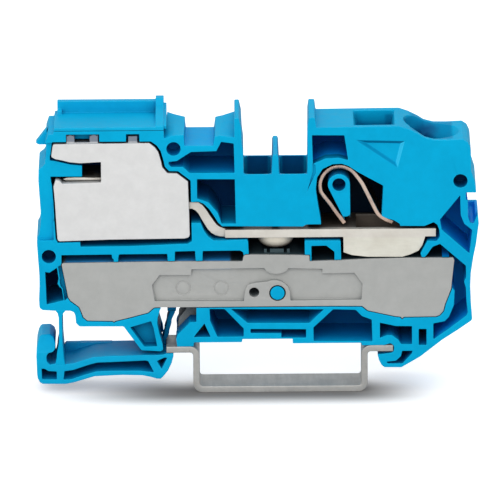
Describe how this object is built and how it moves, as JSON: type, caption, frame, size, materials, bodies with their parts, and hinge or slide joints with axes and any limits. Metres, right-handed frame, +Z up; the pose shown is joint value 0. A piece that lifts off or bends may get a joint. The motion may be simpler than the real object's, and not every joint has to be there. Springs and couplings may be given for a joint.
{
  "type": "din rail terminal block",
  "caption": "Open-sided feed-through terminal block for a 35 mm rail: latch foot, hook, spring clamp wire entry, current bar, jumper wells and a sliding disconnect.",
  "frame": {"origin": "on the rail's centreline at the plane of the rail's upper edges, half way through the block's width", "axes": "+X towards the wire entry, -Y out of the open side, +Z up and away from the rail"},
  "size_m": [0.0685, 0.0112, 0.0439],
  "materials": {
    "blue_polyamide": "satin moulded polyamide",
    "grey_polyamide": "matt moulded polyamide",
    "white_polyamide": "satin moulded polyamide",
    "tinned_copper": "tin-plated copper",
    "spring_steel": "bent spring strip"
  },
  "bodies": {
    "housing": {"housing": "blue_polyamide", "foot_web": "blue_polyamide", "foot_blade": "blue_polyamide", "side_insert": "grey_polyamide", "contact_carrier": "white_polyamide", "current_bar": "tinned_copper", "clamp_spring_anchor": "spring_steel"},
    "foot": {"rail_foot": "blue_polyamide"},
    "clamp": {"clamp_spring_leg": "spring_steel"},
    "slide": {"disconnect_slide": "blue_polyamide", "contact_fork": "tinned_copper", "fork_spring": "spring_steel"}
  },
  "joints": [
    {"name": "foot_release", "type": "slide", "parent": "housing", "child": "foot", "axis": [-1, 0, 0], "range_m": [0, 0.002], "stiffness_N_per_m": 4000},
    {"name": "clamp_open", "type": "hinge", "parent": "housing", "child": "clamp", "pos_m": [0.00938, -0.0003, 0.02536], "axis": [0, 1, 0], "range_deg": [0, 20], "stiffness_Nm_per_rad": 0.5},
    {"name": "disconnect", "type": "slide", "parent": "housing", "child": "slide", "axis": [1, 0, 0], "range_m": [0, 0.003]}
  ]
}
